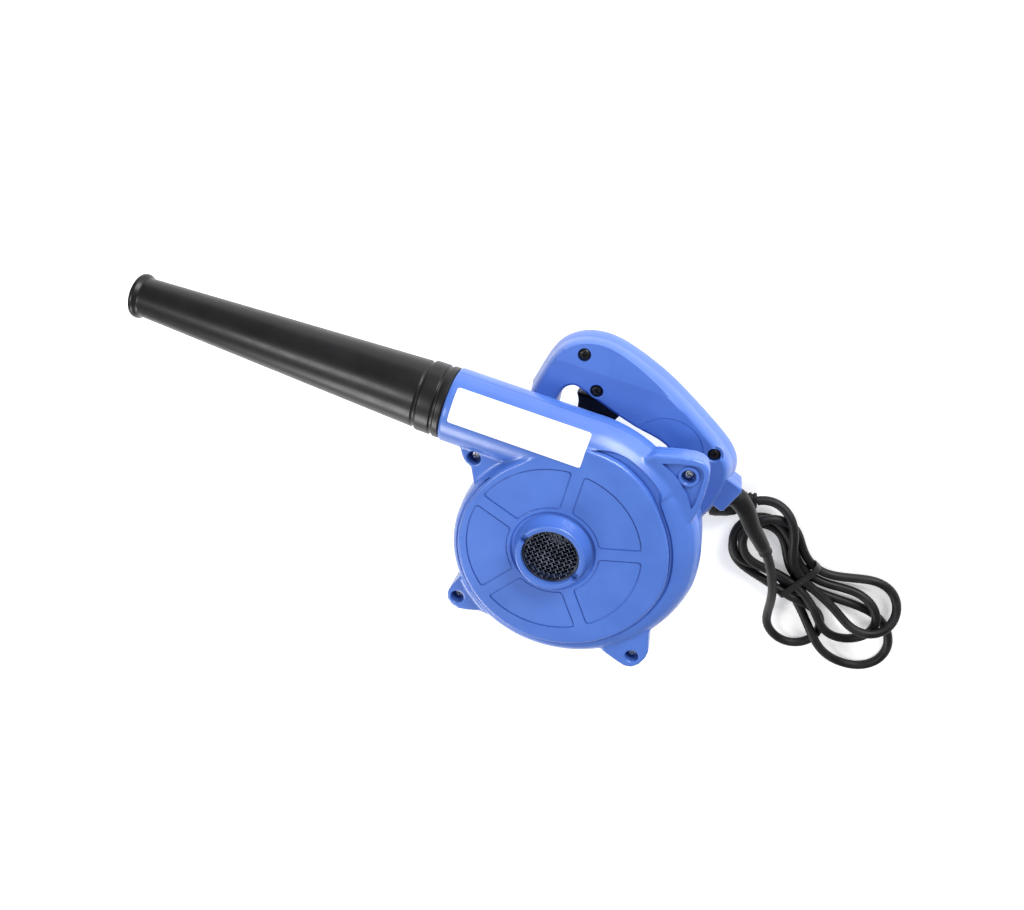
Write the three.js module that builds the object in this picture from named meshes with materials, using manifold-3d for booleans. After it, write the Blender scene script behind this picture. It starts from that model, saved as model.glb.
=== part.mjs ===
// Hand-held electric blower, standing on its motor end with the inlet facing up.
// Millimetres. The motor axis is Z, the nozzle points to -X and the handle is on the +Y side.
import * as THREE from 'three';
import { mergeVertices } from 'three/addons/utils/BufferGeometryUtils.js';
import Module from 'manifold-3d';

const wasm = await Module();
wasm.setup();

// ---- driving dimensions ----
const FRONT_Z = 126;          // flat front face of the scroll
const SPLIT_Z = 106;          // joint between front cover and motor housing
const WALL_Z = 78;            // rear wall of the scroll, and front face of the handle
const HANDLE_BACK_Z = 50;
const HANDLE_SEAM_Z = 64;
const WALL = 2.5;             // moulded wall thickness
const GAP = 0.3;              // clearance between separate pieces
const SCROLL_MIN = 67;        // scroll radius at the tongue side
const SCROLL_GROWTH = 25;     // how much the scroll grows over half a turn
const TUBE = { y: 63, z: 101.7, r: 24.3, bore: 21.8, end: -92 };
const SPIGOT = { r: 20.4, bore: 18, end: -108 };
const NOZZLE = { tip: -312, collarR: 23.6, neckR: 22.4, tipR: 13.2, beadR: 15 };
const BARREL = { r: 40, inner: 37.5, bottom: 12 };
const COLLAR = { top: 136, baseR: 25, rimR: 21.5, bore: 18.5 };
const LUGS = [
  { name: 'upper_left', x: -66, y: 39, base: 14 },
  { name: 'upper_right', x: 63.2, y: 74.6, base: 21 },
  { name: 'lower_left', x: -51, y: -64, base: 17 },
  { name: 'lower_right', x: 72.3, y: -60.7, base: 17 },
];
const LUG_TOP_Z = 117;
const LUG_BOTTOM_Z = 91;
const HANDLE_SCREWS = [
  { name: 'front', x: -21.9, y: 113.7 },
  { name: 'middle', x: -7.3, y: 93.5 },
  { name: 'rear', x: 76.9, y: 78.5 },
];
const CAP_SCREWS = [{ name: 'left', x: -33.2 }, { name: 'right', x: 33.2 }];
const PIVOT = { x: 14, y: 86, r: 1.5 };
const LOCK = { x: -27, y: 102, r: 4 };    // lock-on button in the handle's back face
const CORD_R = 3.3;

// ---- materials ----
const finish = (color, roughness, metalness = 0) => () =>
  new THREE.MeshStandardMaterial({ color, roughness, metalness });
const bluePlastic = finish(0x4a78d6, 0.35);
const blackPlastic = finish(0x141416, 0.3);
const greyPlastic = finish(0x5a5c60, 0.5);
const labelFilm = finish(0xf4f4f2, 0.45);
const cordRubber = finish(0x17171a, 0.55);
const zincSteel = finish(0xb8bbc0, 0.35, 1);
const bearingSteel = finish(0xa9adb3, 0.25, 1);
const laminations = finish(0x6b6e73, 0.45, 1);
const copper = finish(0xb4632c, 0.35, 1);
const carbon = finish(0x232326, 0.8);
const brass = finish(0xc9a24a, 0.3, 1);

// ---- small tools ----
const root = new THREE.Group();

function solid(geometry) {
  const bare = geometry.clone();
  for (const key of Object.keys(bare.attributes)) {
    if (key !== 'position') bare.deleteAttribute(key);
  }
  const merged = mergeVertices(bare, 1e-4);
  const vertProperties = new Float32Array(merged.attributes.position.array);
  const triVerts = new Uint32Array(merged.index.array);
  return new wasm.Manifold(new wasm.Mesh({ numProp: 3, vertProperties, triVerts }));
}

function toGeometry(manifold) {
  const { vertProperties, triVerts } = manifold.getMesh();
  const geometry = new THREE.BufferGeometry();
  geometry.setAttribute('position', new THREE.BufferAttribute(vertProperties, 3));
  geometry.setIndex(new THREE.BufferAttribute(triVerts, 1));
  return geometry;
}

function piece(name, shape, material) {
  const geometry = shape.isBufferGeometry ? shape : toGeometry(shape);
  const mesh = new THREE.Mesh(geometry, material());
  mesh.name = name;
  root.add(mesh);
  return mesh;
}

const joined = (shapes) => shapes.reduce((all, next) => all.add(next));
const cutBy = (shape, tools) => tools.reduce((left, tool) => left.subtract(tool), shape);

function prism(points, z0, z1, holes = []) {
  const shape = new THREE.Shape(points.map(([x, y]) => new THREE.Vector2(x, y)));
  for (const hole of holes) {
    shape.holes.push(new THREE.Path(hole.map(([x, y]) => new THREE.Vector2(x, y))));
  }
  const geometry = new THREE.ExtrudeGeometry(shape, { depth: z1 - z0, bevelEnabled: false });
  return geometry.translate(0, 0, z0);
}

function box(x0, x1, y0, y1, z0, z1) {
  const geometry = new THREE.BoxGeometry(x1 - x0, y1 - y0, z1 - z0);
  return geometry.translate((x0 + x1) / 2, (y0 + y1) / 2, (z0 + z1) / 2);
}

// A turned part from [radius, height] pairs, about the Z axis, listed either way round.
function turned(profile, segments = 32) {
  const points = profile.map(([r, h]) => new THREE.Vector2(r, h));
  if (THREE.ShapeUtils.area(points) < 0) points.reverse();
  return new THREE.LatheGeometry(points, segments).rotateX(Math.PI / 2);
}

const rod = (r, z0, z1, segments = 20, x = 0, y = 0) =>
  turned([[0, z0], [r, z0], [r, z1], [0, z1]], segments).translate(x, y, 0);

const ring = (outer, inner, z0, z1, segments = 24) =>
  turned([[inner, z0], [outer, z0], [outer, z1], [inner, z1], [inner, z0]], segments);

// Turns a part about Z into one along X, with its height axis pointing to +X.
const alongX = (geometry, y, z) => geometry.rotateY(Math.PI / 2).translate(0, y, z);

const screw = (x, y, seat, length, headR = 3.9, headH = 2.8, shankR = 1.9) =>
  turned([[0, seat - length], [shankR, seat - length], [shankR, seat], [headR, seat],
    [headR, seat + headH * 0.6], [headR * 0.75, seat + headH], [0, seat + headH]], 10)
    .translate(x, y, 0);

const radians = (degrees) => (degrees * Math.PI) / 180;
const polar = (r, degrees) => [r * Math.cos(radians(degrees)), r * Math.sin(radians(degrees))];

// Moves a counter-clockwise outline inwards by a distance.
function inset(points, distance) {
  return points.map(([x, y], i) => {
    const [px, py] = points[(i + points.length - 1) % points.length];
    const [nx, ny] = points[(i + 1) % points.length];
    const before = new THREE.Vector2(x - px, y - py).normalize();
    const after = new THREE.Vector2(nx - x, ny - y).normalize();
    const normal = new THREE.Vector2(-before.y - after.y, before.x + after.x).normalize();
    const reach = distance / Math.max(0.5, -before.y * normal.x + before.x * normal.y);
    return [x + normal.x * reach, y + normal.y * reach];
  });
}

// ---- outlines ----
function scrollRadius(degrees) {
  if (degrees <= 360) return SCROLL_MIN + (SCROLL_GROWTH * (degrees - 180)) / 180;
  const top = TUBE.y + TUBE.r;
  return SCROLL_MIN + SCROLL_GROWTH + ((top - SCROLL_MIN - SCROLL_GROWTH) * (degrees - 360)) / 90;
}

function scrollOutline(shrink = 0) {
  const points = [];
  for (let degrees = 150; degrees <= 450; degrees += 10) {
    points.push(polar(scrollRadius(degrees) - shrink, degrees));
  }
  return points;
}

function lugOutline({ x, y, base }) {
  const out = new THREE.Vector2(x, y).normalize();
  const angle = (Math.atan2(out.y, out.x) * 180) / Math.PI;
  const side = new THREE.Vector2(-out.y, out.x);
  const foot = new THREE.Vector2(x, y).length() - 22;
  const points = [[out.x * foot - side.x * base, out.y * foot - side.y * base]];
  for (let turn = -80; turn <= 80; turn += 32) {
    const [dx, dy] = polar(6.6, angle + turn);
    points.push([x + dx, y + dy]);
  }
  points.push([out.x * foot + side.x * base, out.y * foot + side.y * base]);
  return points;
}

const spline = (points, steps) =>
  new THREE.SplineCurve(points.map(([x, y]) => new THREE.Vector2(x, y)))
    .getPoints(steps).map((p) => [p.x, p.y]);

// Counter-clockwise from the lower right: up the rear leg, along the grip, down the front leg.
const HANDLE_OUTLINE = [
  [-36, -10], [36, -10], [64, 6],
  ...spline([[84, 28], [91.5, 50], [88.7, 74.8], [64.1, 94.5], [27, 114.4], [-12, 124.6],
    [-38, 113], [-49, 79]], 22),
  [-45, 30],
];

const FINGER_GAP = [
  [-27, 35.5], [-15, 41.5], [0, 44], [15, 41.5], [30, 32.5], [40, 20],
  ...spline([[54, 26], [63, 42], [60, 60], [46, 73.3], [24, 78.3], [12, 81.5]], 10),
  [-16.5, 90.5], [-22, 91.8], [-27.5, 88], [-30, 79],
];

// The cord leaves the handle at its lower right, square to this direction.
const GLAND = { x: 99.6, y: 51, dx: 0.94, dy: -0.34, half: 10.5, depth: 15 };

function glandBlock(half, from, to, z0, z1) {
  const corner = (along, across) => [
    GLAND.x + GLAND.dx * along - GLAND.dy * across,
    GLAND.y + GLAND.dy * along + GLAND.dx * across,
  ];
  return prism([corner(from, -half), corner(to, -half), corner(to, half), corner(from, half)], z0, z1);
}

const CLAMP = { x: 75.5, y: 59.7 };
const CLAMP_SCREWS = [-7, 7].map((across) => [CLAMP.x - GLAND.dy * across, CLAMP.y + GLAND.dx * across]);

const glandRod = (r, from, to) =>
  turned([[0, from], [r, from], [r, to], [0, to]], 16)
    .rotateY(Math.PI / 2)
    .rotateZ(Math.atan2(GLAND.dy, GLAND.dx))
    .translate(GLAND.x, GLAND.y, HANDLE_SEAM_Z);

// ---- shared housing shapes ----
const everything = (z0, z1) => solid(box(-400, 200, -200, 200, z0, z1));
const tubeRod = (r, x0, x1) =>
  solid(alongX(turned([[0, x0], [r, x0], [r, x1], [0, x1]], 32), TUBE.y, TUBE.z));

function scrollBody() {
  const bevel = 6;
  const outline = inset(scrollOutline(), bevel).map(([x, y]) => new THREE.Vector2(x, y));
  const options = {
    depth: FRONT_Z - WALL_Z - 2 * bevel,
    bevelThickness: bevel,
    bevelSize: bevel,
    bevelSegments: 2,
  };
  const rounded = new THREE.ExtrudeGeometry(new THREE.Shape(outline), options);
  return solid(rounded.translate(0, 0, WALL_Z + bevel));
}

function scrollOutside() {
  return joined([scrollBody(), tubeRod(TUBE.r, TUBE.end, 4), tubeRod(SPIGOT.r, SPIGOT.end, TUBE.end + 2)]);
}

function airPath() {
  const chamber = solid(prism(scrollOutline(WALL + 3), WALL_Z + WALL, FRONT_Z - WALL));
  return joined([chamber, tubeRod(TUBE.bore, TUBE.end + WALL, 0), tubeRod(SPIGOT.bore, SPIGOT.end - 5, 0)]);
}

// ---- housing pieces ----
function panel(index) {
  const middle = 54 + 72 * index;
  const points = [];
  for (let turn = -27; turn <= 27; turn += 9) points.push(polar(56, middle + turn));
  for (let turn = 24; turn >= -24; turn -= 12) points.push(polar(30, middle + turn * 0.85));
  return solid(prism(points, FRONT_Z - 1.2, FRONT_Z + 2));
}

function frontCover() {
  const lugs = LUGS.map((lug) => solid(prism(lugOutline(lug), SPLIT_Z - 5, LUG_TOP_Z)));
  const collar = solid(turned([[0, FRONT_Z - 6], [COLLAR.baseR, FRONT_Z - 6], [COLLAR.baseR, FRONT_Z],
    [COLLAR.rimR + 0.6, FRONT_Z + 2.5], [COLLAR.rimR, COLLAR.top], [0, COLLAR.top]], 40));
  const cover = joined([scrollOutside(), ...lugs, collar]);
  const notches = [160, 340].map((degrees) =>
    solid(box(COLLAR.bore - 2, COLLAR.rimR - 1, -3, 3, COLLAR.top - 5, COLLAR.top + 1)
      .rotateZ(radians(degrees))));
  const screwHoles = LUGS.flatMap(({ x, y }) => [
    solid(rod(4.5, SPLIT_Z + 2.2, LUG_TOP_Z + 20, 14, x, y)),
    solid(rod(2.3, SPLIT_Z - 10, LUG_TOP_Z, 10, x, y)),
  ]);
  const panels = [0, 1, 2, 3, 4].map(panel);
  const bore = solid(rod(COLLAR.bore, FRONT_Z - 10, COLLAR.top + 5, 40));
  const cut = cutBy(cover, [airPath(), bore, ...notches, ...screwHoles, ...panels]);
  return cut.intersect(everything(SPLIT_Z + GAP / 2, 200));
}

function handleHollow(z0, z1) {
  const shell = solid(prism(inset(HANDLE_OUTLINE, WALL), z0, z1));
  const gap = solid(prism(inset(FINGER_GAP, -WALL), z0 - 1, z1 + 1));
  const barrel = solid(rod(BARREL.r + 1, z0 - 1, z1 + 1, 36));
  return cutBy(shell, [gap, barrel]);
}

const handleLoop = (z0, z1) => joined([
  cutBy(solid(prism(HANDLE_OUTLINE, z0, z1)), [solid(prism(FINGER_GAP, z0 - 1, z1 + 1))]),
  solid(glandBlock(GLAND.half, -GLAND.depth, 0, Math.max(z0, 53), Math.min(z1, 75))),
]);

const triggerSlot = () => solid(box(-20.6, 19.2, 70, 92.6, 56.8, 71.2));

function motorHousing() {
  const lugs = LUGS.map((lug) => solid(prism(lugOutline(lug), LUG_BOTTOM_Z, SPLIT_Z + 5)));
  const barrel = solid(turned([[0, BARREL.bottom + GAP], [BARREL.r, BARREL.bottom + GAP],
    [BARREL.r, WALL_Z + 4], [0, WALL_Z + 4]], 36));
  const scroll = joined([scrollOutside(), ...lugs]).intersect(everything(WALL_Z, SPLIT_Z - GAP / 2));
  const loop = handleLoop(HANDLE_BACK_Z, HANDLE_SEAM_Z - GAP / 2);
  const shell = joined([scroll, barrel, loop]);
  const chamber = airPath().add(everything(SPLIT_Z - GAP / 2, 220));
  const barrelHollow = solid(rod(BARREL.inner, 5, WALL_Z - 2, 36));
  const lugHoles = LUGS.map(({ x, y }) => solid(rod(2.2, LUG_BOTTOM_Z + 3, SPLIT_Z, 12, x, y)));
  const hollow = handleHollow(HANDLE_BACK_Z + WALL, HANDLE_SEAM_Z + 2);
  const vents = [];
  for (let k = 0; k < 8; k++) {
    vents.push(solid(box(34, 44, -7, 7, 67, 72.5).rotateZ(radians(22.5 + 45 * k))));
  }
  const opened = cutBy(shell, [chamber, barrelHollow, hollow, triggerSlot(), ...vents]);
  const bearingSeat = solid(rod(14.5, 70, WALL_Z + WALL, 32));
  const capBosses = CAP_SCREWS.map(({ x }) => solid(rod(4.6, 16, 62, 12, x, 0)));
  const handleBosses = HANDLE_SCREWS.map(({ x, y, name }) =>
    solid(rod(name === 'middle' ? 4 : 4.6, HANDLE_BACK_Z + 1, HANDLE_SEAM_Z - GAP / 2, 12, x, y)));
  const clampBosses = CLAMP_SCREWS.map(([x, y]) => solid(rod(3, HANDLE_BACK_Z + 1, 62.5, 12, x, y)));
  const pivotBoss = solid(rod(3.2, HANDLE_BACK_Z + 1, 56.9, 12, PIVOT.x, PIVOT.y));
  const built = joined([opened, bearingSeat, ...capBosses, ...handleBosses, ...clampBosses, pivotBoss]);
  return cutBy(built, [
    solid(rod(11.3, 60, WALL_Z + 0.4, 32)),
    solid(rod(6, 60, 90, 24)),
    solid(rod(PIVOT.r + GAP, 52.6, 60, 12, PIVOT.x, PIVOT.y)),
    solid(rod(LOCK.r + GAP, 40, 60, 16, LOCK.x, LOCK.y)),
    solid(glandRod(5.9, -40, 5)),
    solid(glandRod(7.9, -11, -6.4)),
    ...lugHoles,
    ...CAP_SCREWS.map(({ x }) => solid(rod(2.2, 10, 40, 12, x, 0))),
    ...HANDLE_SCREWS.map(({ x, y }) => solid(rod(2.2, 53, 80, 12, x, y))),
    ...CLAMP_SCREWS.map(([x, y]) => solid(rod(1.6, 53, 70, 12, x, y))),
  ]);
}

function handleCover() {
  const loop = handleLoop(HANDLE_SEAM_Z + GAP / 2, WALL_Z - GAP);
  const hollow = handleHollow(HANDLE_SEAM_Z - 2, WALL_Z - GAP - WALL);
  const motor = solid(rod(BARREL.r + 1, 40, 90, 36));
  const opened = cutBy(loop, [hollow, triggerSlot(), motor]);
  const bosses = HANDLE_SCREWS.map(({ x, y, name }) =>
    solid(rod(name === 'middle' ? 4.9 : 6, HANDLE_SEAM_Z + GAP / 2 + (name === 'middle' ? 7.5 : 0),
      WALL_Z - 1, 12, x, y)));
  const pivotBoss = solid(rod(3.2, 71.1, WALL_Z - 1, 12, PIVOT.x, PIVOT.y));
  const built = joined([opened, ...bosses, pivotBoss]);
  return cutBy(built, [
    solid(rod(PIVOT.r + GAP, 60, 74, 12, PIVOT.x, PIVOT.y)),
    solid(glandRod(5.9, -40, 5)),
    solid(glandRod(7.9, -11, -6.4)),
    ...HANDLE_SCREWS.flatMap(({ x, y }) => [
      solid(rod(4.3, 73.4, 90, 12, x, y)),
      solid(rod(2.3, 60, 80, 12, x, y)),
    ]),
  ]);
}

function endCap() {
  const skin = solid(turned([[0, 0], [BARREL.r - 3, 0], [BARREL.r, 3], [BARREL.r, BARREL.bottom],
    [BARREL.inner - GAP, BARREL.bottom], [BARREL.inner - GAP, 15.5], [0, 15.5]], 36));
  const hollow = solid(ring(BARREL.inner - 3, 11.5, 3, 20, 36));
  const slots = [];
  for (let k = 0; k < 12; k++) {
    if (k % 6 !== 0) slots.push(solid(box(17, 31, -2, 2, -1, 8).rotateZ(radians(30 * k))));
  }
  const bosses = CAP_SCREWS.flatMap(({ x }) => [
    solid(rod(5.4, 2, 9, 12, x, 0)),
    solid(rod(3.8, 8, 15.5, 12, x, 0)),
  ]);
  const opened = joined([cutBy(skin, [hollow, ...slots]), ...bosses]);
  return cutBy(opened, [
    solid(rod(8.3, 4, 20, 24)),
    solid(rod(11.6, 12, 20, 24)),
    ...CAP_SCREWS.flatMap(({ x }) => [
      solid(rod(4.3, -1, 5, 12, x, 0)),
      solid(rod(2.3, -1, 20, 12, x, 0)),
    ]),
  ]);
}

function nozzle() {
  const { tip, collarR, neckR, tipR, beadR } = NOZZLE;
  const start = TUBE.end - GAP;
  const sleeve = SPIGOT.r + GAP;
  const profile = [
    [sleeve, start], [collarR, start], [collarR, -96.5], [collarR - 1.2, -97.2], [collarR - 1.2, -98.4],
    [collarR - 0.2, -99], [collarR - 0.4, -108], [neckR - 0.9, -109], [neckR - 0.9, -110.5],
    [neckR, -111.5], [tipR, tip + 6], [beadR, tip + 4.2], [beadR, tip + 1], [tipR - 3, tip],
    [SPIGOT.bore - 0.5, -112], [sleeve, SPIGOT.end - GAP * 2], [sleeve, start],
  ];
  return alongX(turned(profile, 28), TUBE.y, TUBE.z);
}

function label() {
  const outer = TUBE.r + GAP + 0.5;
  const band = solid(alongX(turned([[TUBE.r + GAP, -84], [outer, -84], [outer, -20],
    [TUBE.r + GAP, -20], [TUBE.r + GAP, -84]], 48), TUBE.y, TUBE.z));
  const upper = solid(box(-100, 0, TUBE.y - 1, TUBE.y + 19.5, TUBE.z + 5, TUBE.z + 40));
  return band.intersect(upper);
}

function grille() {
  const disc = solid(rod(COLLAR.bore - 1.2, 131, 132, 36));
  const pitch = 5.4;
  const half = 2;
  const windows = [];
  for (let i = -3; i <= 3; i++) {
    for (let j = -3; j <= 3; j++) {
      const [x, y] = [i * pitch, j * pitch];
      if (Math.hypot(x, y) > 13.8) continue;
      windows.push(solid(box(x - half, x + half, y - half, y + half, 130, 133)));
    }
  }
  return toGeometry(cutBy(disc, windows)).rotateZ(Math.PI / 4);
}

// ---- rotor ----
function impeller() {
  const disc = solid(turned([[4.3, 84], [54, 84], [54, 86], [14, 86], [11, 99], [4.3, 99], [4.3, 84]], 28));
  const blades = [];
  for (let k = 0; k < 8; k++) {
    const outline = [];
    for (let t = 0; t <= 4; t++) outline.push(polar(15 + 9.5 * t, 45 * k - 7 * t));
    for (let t = 4; t >= 0; t--) outline.push(polar(15 + 9.5 * t, 45 * k - 7 * t + 130 / (15 + 9.5 * t)));
    const blade = solid(prism(outline, 85, 108));
    const slope = solid(turned([[0, 80], [60, 80], [60, 100], [20, 108.5], [0, 108.5]], 16));
    blades.push(blade.intersect(slope));
  }
  return joined([disc, ...blades]);
}

function coolingFan() {
  const hub = solid(turned([[4.3, 62], [28, 62], [28, 63.4], [8, 63.4], [8, 68.5], [4.3, 68.5],
    [4.3, 62]], 20));
  const blades = [];
  for (let k = 0; k < 9; k++) blades.push(solid(box(9, 27.5, -0.7, 0.7, 63, 68).rotateZ(radians(40 * k))));
  return joined([hub, ...blades]);
}

function armatureCore() {
  const points = [];
  for (let k = 0; k < 12; k++) {
    const slot = 30 * k + 22;
    points.push(polar(15.5, 30 * k), polar(15.5, slot), polar(10.5, slot + 0.5), polar(10.5, slot + 7.5));
  }
  const bore = [];
  for (let k = 11; k >= 0; k--) bore.push(polar(4.3, 30 * k));
  return prism(points, 33.3, 55, [bore]);
}

function rotor() {
  piece('impeller', impeller(), blackPlastic);
  piece('impeller_washer', ring(8.5, 4.4, 99.3, 100.5, 20), zincSteel);
  const hexagon = [0, 1, 2, 3, 4, 5].map((k) => polar(6.4, 60 * k));
  const thread = [];
  for (let k = 11; k >= 0; k--) thread.push(polar(4.4, 30 * k));
  piece('impeller_nut', prism(hexagon, 100.8, 105.6, [thread]), zincSteel);
  piece('armature_shaft', turned([[0, 4.6], [4, 4.6], [4, 107], [3.4, 108], [0, 108]], 20), bearingSteel);
  piece('armature_core', armatureCore(), laminations);
  piece('winding_rear', ring(14.4, 4.4, 27, 33, 24), copper);
  piece('winding_front', ring(14.4, 4.4, 55.3, 60.5, 24), copper);
  piece('commutator', ring(9.5, 4.3, 13.5, 26.5, 24), copper);
  piece('cooling_fan', coolingFan(), greyPlastic);
}

// ---- motor parts that stand still ----
function statorCore() {
  const outer = [];
  const inner = [];
  for (let k = 0; k < 36; k++) outer.push(polar(28.4, 10 * k));
  const pole = 16.1;
  const pocket = 24;
  for (let k = 35; k >= 0; k--) {
    const fromPole = Math.abs(((10 * k + 270) % 180) - 90);
    inner.push(polar(fromPole > 38 ? pole : pocket, 10 * k));
  }
  return prism(outer, 33.3, 55, [inner]);
}

// A flat frame of wire bent round the armature, its sides in the core's pockets.
function fieldCoil(turn) {
  const sector = (inner, outer, from, to, z0, z1) => {
    const points = [];
    for (let k = 0; k <= 10; k++) points.push(polar(outer, from + ((to - from) * k) / 10));
    for (let k = 10; k >= 0; k--) points.push(polar(inner, from + ((to - from) * k) / 10));
    return solid(prism(points, z0, z1));
  };
  const frame = sector(16.9, 23.2, 8, 172, 29, 59.5);
  const window = sector(12, 30, 28, 152, 33, 55.3);
  return toGeometry(frame.subtract(window)).rotateZ(radians(turn));
}

function stillMotor() {
  piece('front_bearing', ring(11, 4.3, 70.6, 77.8, 28), bearingSteel);
  piece('rear_bearing', ring(8, 4.3, 4.4, 9.4, 24), bearingSteel);
  piece('stator_core', statorCore(), laminations);
  piece('field_coil_upper', fieldCoil(0), copper);
  piece('field_coil_lower', fieldCoil(180), copper);
  for (const [name, side] of [['left', -1], ['right', 1]]) {
    const channel = solid(box(9, 40, -3.8, 3.8, 17, 23));
    const holder = solid(box(11, 28.2, -5.2, 5.2, 16, 24.6)).subtract(channel);
    piece(`brush_holder_${name}`, side > 0 ? holder : holder.rotate([0, 0, 180]), brass);
    const brush = solid(box(9.9, 19.5, -3.4, 3.4, 17.4, 22.6));
    piece(`carbon_brush_${name}`, side > 0 ? brush : brush.rotate([0, 0, 180]), carbon);
    piece(`brush_spring_${name}`, brushSpring(side), zincSteel);
  }
}

class Helix extends THREE.Curve {
  constructor(radius, from, to, turns) {
    super();
    Object.assign(this, { radius, from, to, turns });
  }

  getPoint(t, target = new THREE.Vector3()) {
    const angle = 2 * Math.PI * this.turns * t;
    const along = this.from + (this.to - this.from) * t;
    return target.set(along, this.radius * Math.cos(angle), this.radius * Math.sin(angle) + 20);
  }
}

const circleShape = (r, sides) => new THREE.Shape(
  Array.from({ length: sides }, (_, k) => new THREE.Vector2(...polar(r, (360 * k) / sides))));

const sweep = (curve, r, steps, sides) =>
  new THREE.ExtrudeGeometry(circleShape(r, sides), { steps, bevelEnabled: false, extrudePath: curve });

function brushSpring(side) {
  return sweep(new Helix(1.9, side * 20.1, side * 27.8, 3), 0.4, 24, 4);
}

// ---- switch and trigger ----
function trigger() {
  const outline = [
    [-16, 86.3], ...spline([[-19.3, 86], [-16.8, 81], [-15.6, 76], [-11, 73.4], [0, 73], [9.5, 74.8]], 10),
    [12, 80], [17.6, 83.4], [18, 87], [16.2, 89.4], [12.4, 89.6], [10.4, 86.3],
  ];
  const body = solid(prism(outline, 57.4, 70.6));
  return cutBy(body, [solid(rod(PIVOT.r + GAP, 50, 80, 12, PIVOT.x, PIVOT.y))]);
}

function controls() {
  piece('trigger', trigger(), blackPlastic);
  piece('trigger_pin', rod(PIVOT.r, 53, 73.6, 12, PIVOT.x, PIVOT.y), zincSteel);
  piece('switch_plunger', box(3.6, 7.4, 87, 91.4, 61.6, 66.4), greyPlastic);
  piece('switch_body', box(1, 27, 93, 106, 55.4, 72.6), blackPlastic);
  piece('capacitor', box(35, 51, 82.5, 94, 56, 71), brass);
  piece('lock_button', turned([[0, 47], [LOCK.r - 0.8, 47], [LOCK.r, 48], [LOCK.r, 58], [0, 58]], 20)
    .translate(LOCK.x, LOCK.y, 0), blackPlastic);
}

// ---- cord ----
const BOOT_ROUTE = [
  [100.6, 50.6, 64], [104.6, 49.2, 63.9], [112, 43, 62.8], [120.8, 31.6, 59.6], [130.6, 21, 55],
  [138.6, 12, 50.6],
];
const LEAD_ROUTE = [
  [138.85, 11.65, 50.4], [145.9, 0.8, 44.5], [150.4, -7.3, 40.4], [154.4, -15.6, 36.1],
  [157.6, -23.9, 31.5], [160.1, -32.3, 26.6], [162.1, -40.7, 21.7], [164.6, -49.2, 16.2],
  [167.6, -57.8, 11.5], [172.2, -66.2, 8.3], [179.8, -72.4, 6.1], [189.4, -75.2, 4.6], [194.6, -74.8, 4.1],
];
const PLUG_LEAD_ROUTE = [[144.2, 31.8, 11.6], [141.1, 32.5, 10.7], [133.8, 32.4, 9.4], [126.7, 29.8, 9.4]];

// The hank's outer shape round its loops, and the tie at its waist.
const HANK = { low: 2, top: 19.6 };
const HANK_OUTLINE = [
  [168.6, -36.8], [199.7, -72.8], [230.6, -79.5], [238.6, -79.9], [245.8, -78.5], [252.4, -75.2],
  [257.7, -70.2], [261.6, -63.3], [263, -56.1], [262.3, -48.7], [254.4, -17], [251.6, -10.6],
  [246.3, -4.9], [240, -1.2], [232.8, 0.5], [185.6, -3.8], [155.6, 28.3], [149.3, 30.1], [134.7, 21.9],
  [127.9, 18.1], [122.1, 12.8], [118.5, 6.5], [117.3, -0.7], [118.4, -7.9], [120.9, -15.4],
  [124.5, -21.8], [129.9, -26.8], [137, -30.3], [144.1, -32.3], [151.9, -33.8],
];
const TIE = { x: 177.2, y: -20.1, turn: -27.4, half: 20.2 };

const curveThrough = (points) =>
  new THREE.CatmullRomCurve3(points.map((p) => new THREE.Vector3(...p)), false, 'centripetal');

// A round bar along a curve whose radius runs evenly from one size to another.
function taperedSweep(curve, fromR, toR, steps, sides) {
  const geometry = sweep(curve, 1, steps, sides);
  const stations = curve.getSpacedPoints(steps);
  const position = geometry.attributes.position;
  const vertex = new THREE.Vector3();
  for (let i = 0; i < position.count; i++) {
    vertex.fromBufferAttribute(position, i);
    const distances = stations.map((s) => s.distanceTo(vertex));
    const nearest = distances.indexOf(Math.min(...distances));
    const radius = fromR + ((toR - fromR) * nearest) / steps;
    vertex.sub(stations[nearest]).multiplyScalar(radius).add(stations[nearest]);
    position.setXYZ(i, vertex.x, vertex.y, vertex.z);
  }
  return geometry;
}

function cordGuard() {
  const sleeve = solid(taperedSweep(curveThrough(BOOT_ROUTE), 7.2, 4.6, 8, 12));
  const neck = solid(glandRod(5.6, -14.5, 1.6));
  const flange = solid(glandRod(7.5, -10.7, -6.8));
  return joined([sleeve, neck, flange]);
}

function hankTie() {
  const { x, y, turn, half } = TIE;
  const outer = solid(box(-2, 2, -half - 1.4, half + 1.4, 0.3, HANK.top + 1.9));
  const inner = solid(box(-5, 5, -half, half, HANK.low - 0.4, HANK.top + 0.5));
  return toGeometry(cutBy(outer, [inner])).rotateZ(radians(turn)).translate(x, y, 0);
}

// The plug lies beside the hank with its pins pointing away from it.
const PLUG = { x: 126, y: 29.5, z: 9.4, turn: 200 };
const placePlug = (geometry) =>
  geometry.rotateY(Math.PI / 2).rotateZ(radians(PLUG.turn)).translate(PLUG.x, PLUG.y, PLUG.z);

function plugBody() {
  const grip = turned([[0, 0], [4.4, 0], [5, 8], [7.4, 12], [8.8, 20], [9, 30], [8.4, 34], [0, 34]], 20);
  return placePlug(grip.scale(1, 1.35, 1));
}

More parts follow.
